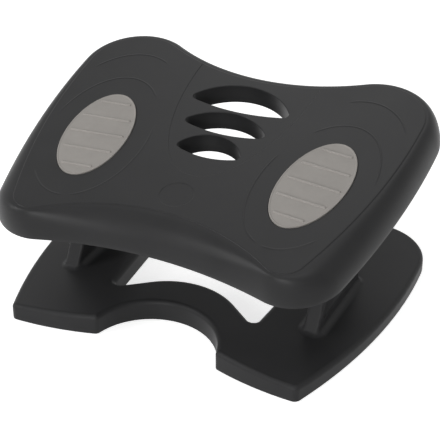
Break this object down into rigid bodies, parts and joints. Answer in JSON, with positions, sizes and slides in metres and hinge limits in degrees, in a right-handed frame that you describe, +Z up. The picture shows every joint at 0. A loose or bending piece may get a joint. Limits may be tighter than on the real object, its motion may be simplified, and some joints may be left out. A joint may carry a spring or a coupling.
{
  "type": "tilting under desk footrest",
  "caption": "Under desk footrest: a butterfly shaped plastic platform with ribbed foot pads tilts on two friction hinges above an open base.",
  "frame": {"origin": "on the floor, under the middle of the overall footprint", "axes": "+X along the width to the user's right, +Y away from the user, +Z up"},
  "size_m": [0.455, 0.3524, 0.2243],
  "materials": {
    "platform_plastic": "fine satin grain, charcoal",
    "base_plastic": "fine satin grain, charcoal",
    "pad_rubber": "matt, warm grey",
    "bracket_plastic": "satin, charcoal",
    "zinc_steel": "zinc plated",
    "spring_steel": "blued",
    "bush_nylon": "natural",
    "friction_lining": "matt",
    "stop_rubber": "matt",
    "foot_rubber": "matt"
  },
  "bodies": {
    "base": {"base_frame": "base_plastic", "pivot_bush_left": "bush_nylon", "pivot_bush_right": "bush_nylon", "friction_disc_outer_left": "friction_lining", "friction_disc_outer_right": "friction_lining", "friction_disc_inner_left": "friction_lining", "friction_disc_inner_right": "friction_lining", "tilt_stop_front_left": "stop_rubber", "tilt_stop_front_right": "stop_rubber", "tilt_stop_rear_left": "stop_rubber", "tilt_stop_rear_right": "stop_rubber", "rubber_foot_front_left": "foot_rubber", "rubber_foot_front_right": "foot_rubber", "rubber_foot_rear_left": "foot_rubber", "rubber_foot_rear_right": "foot_rubber"},
    "platform": {"platform_shell": "platform_plastic", "massage_pad_left": "pad_rubber", "massage_pad_right": "pad_rubber", "pad_clips_left": "spring_steel", "pad_clips_right": "spring_steel", "hinge_bracket_left": "bracket_plastic", "hinge_bracket_right": "bracket_plastic", "bracket_screws_left": "zinc_steel", "bracket_screws_right": "zinc_steel", "pivot_bolt_left": "zinc_steel", "pivot_bolt_right": "zinc_steel", "head_washer_left": "zinc_steel", "head_washer_right": "zinc_steel", "spring_washer_left": "spring_steel", "spring_washer_right": "spring_steel", "lock_nut_left": "zinc_steel", "lock_nut_right": "zinc_steel"}
  },
  "joints": [
    {"name": "platform_tilt", "type": "hinge", "parent": "base", "child": "platform", "pos_m": [0, 0, 0.1605], "axis": [1, 0, 0], "range_deg": [-32, 8]}
  ]
}
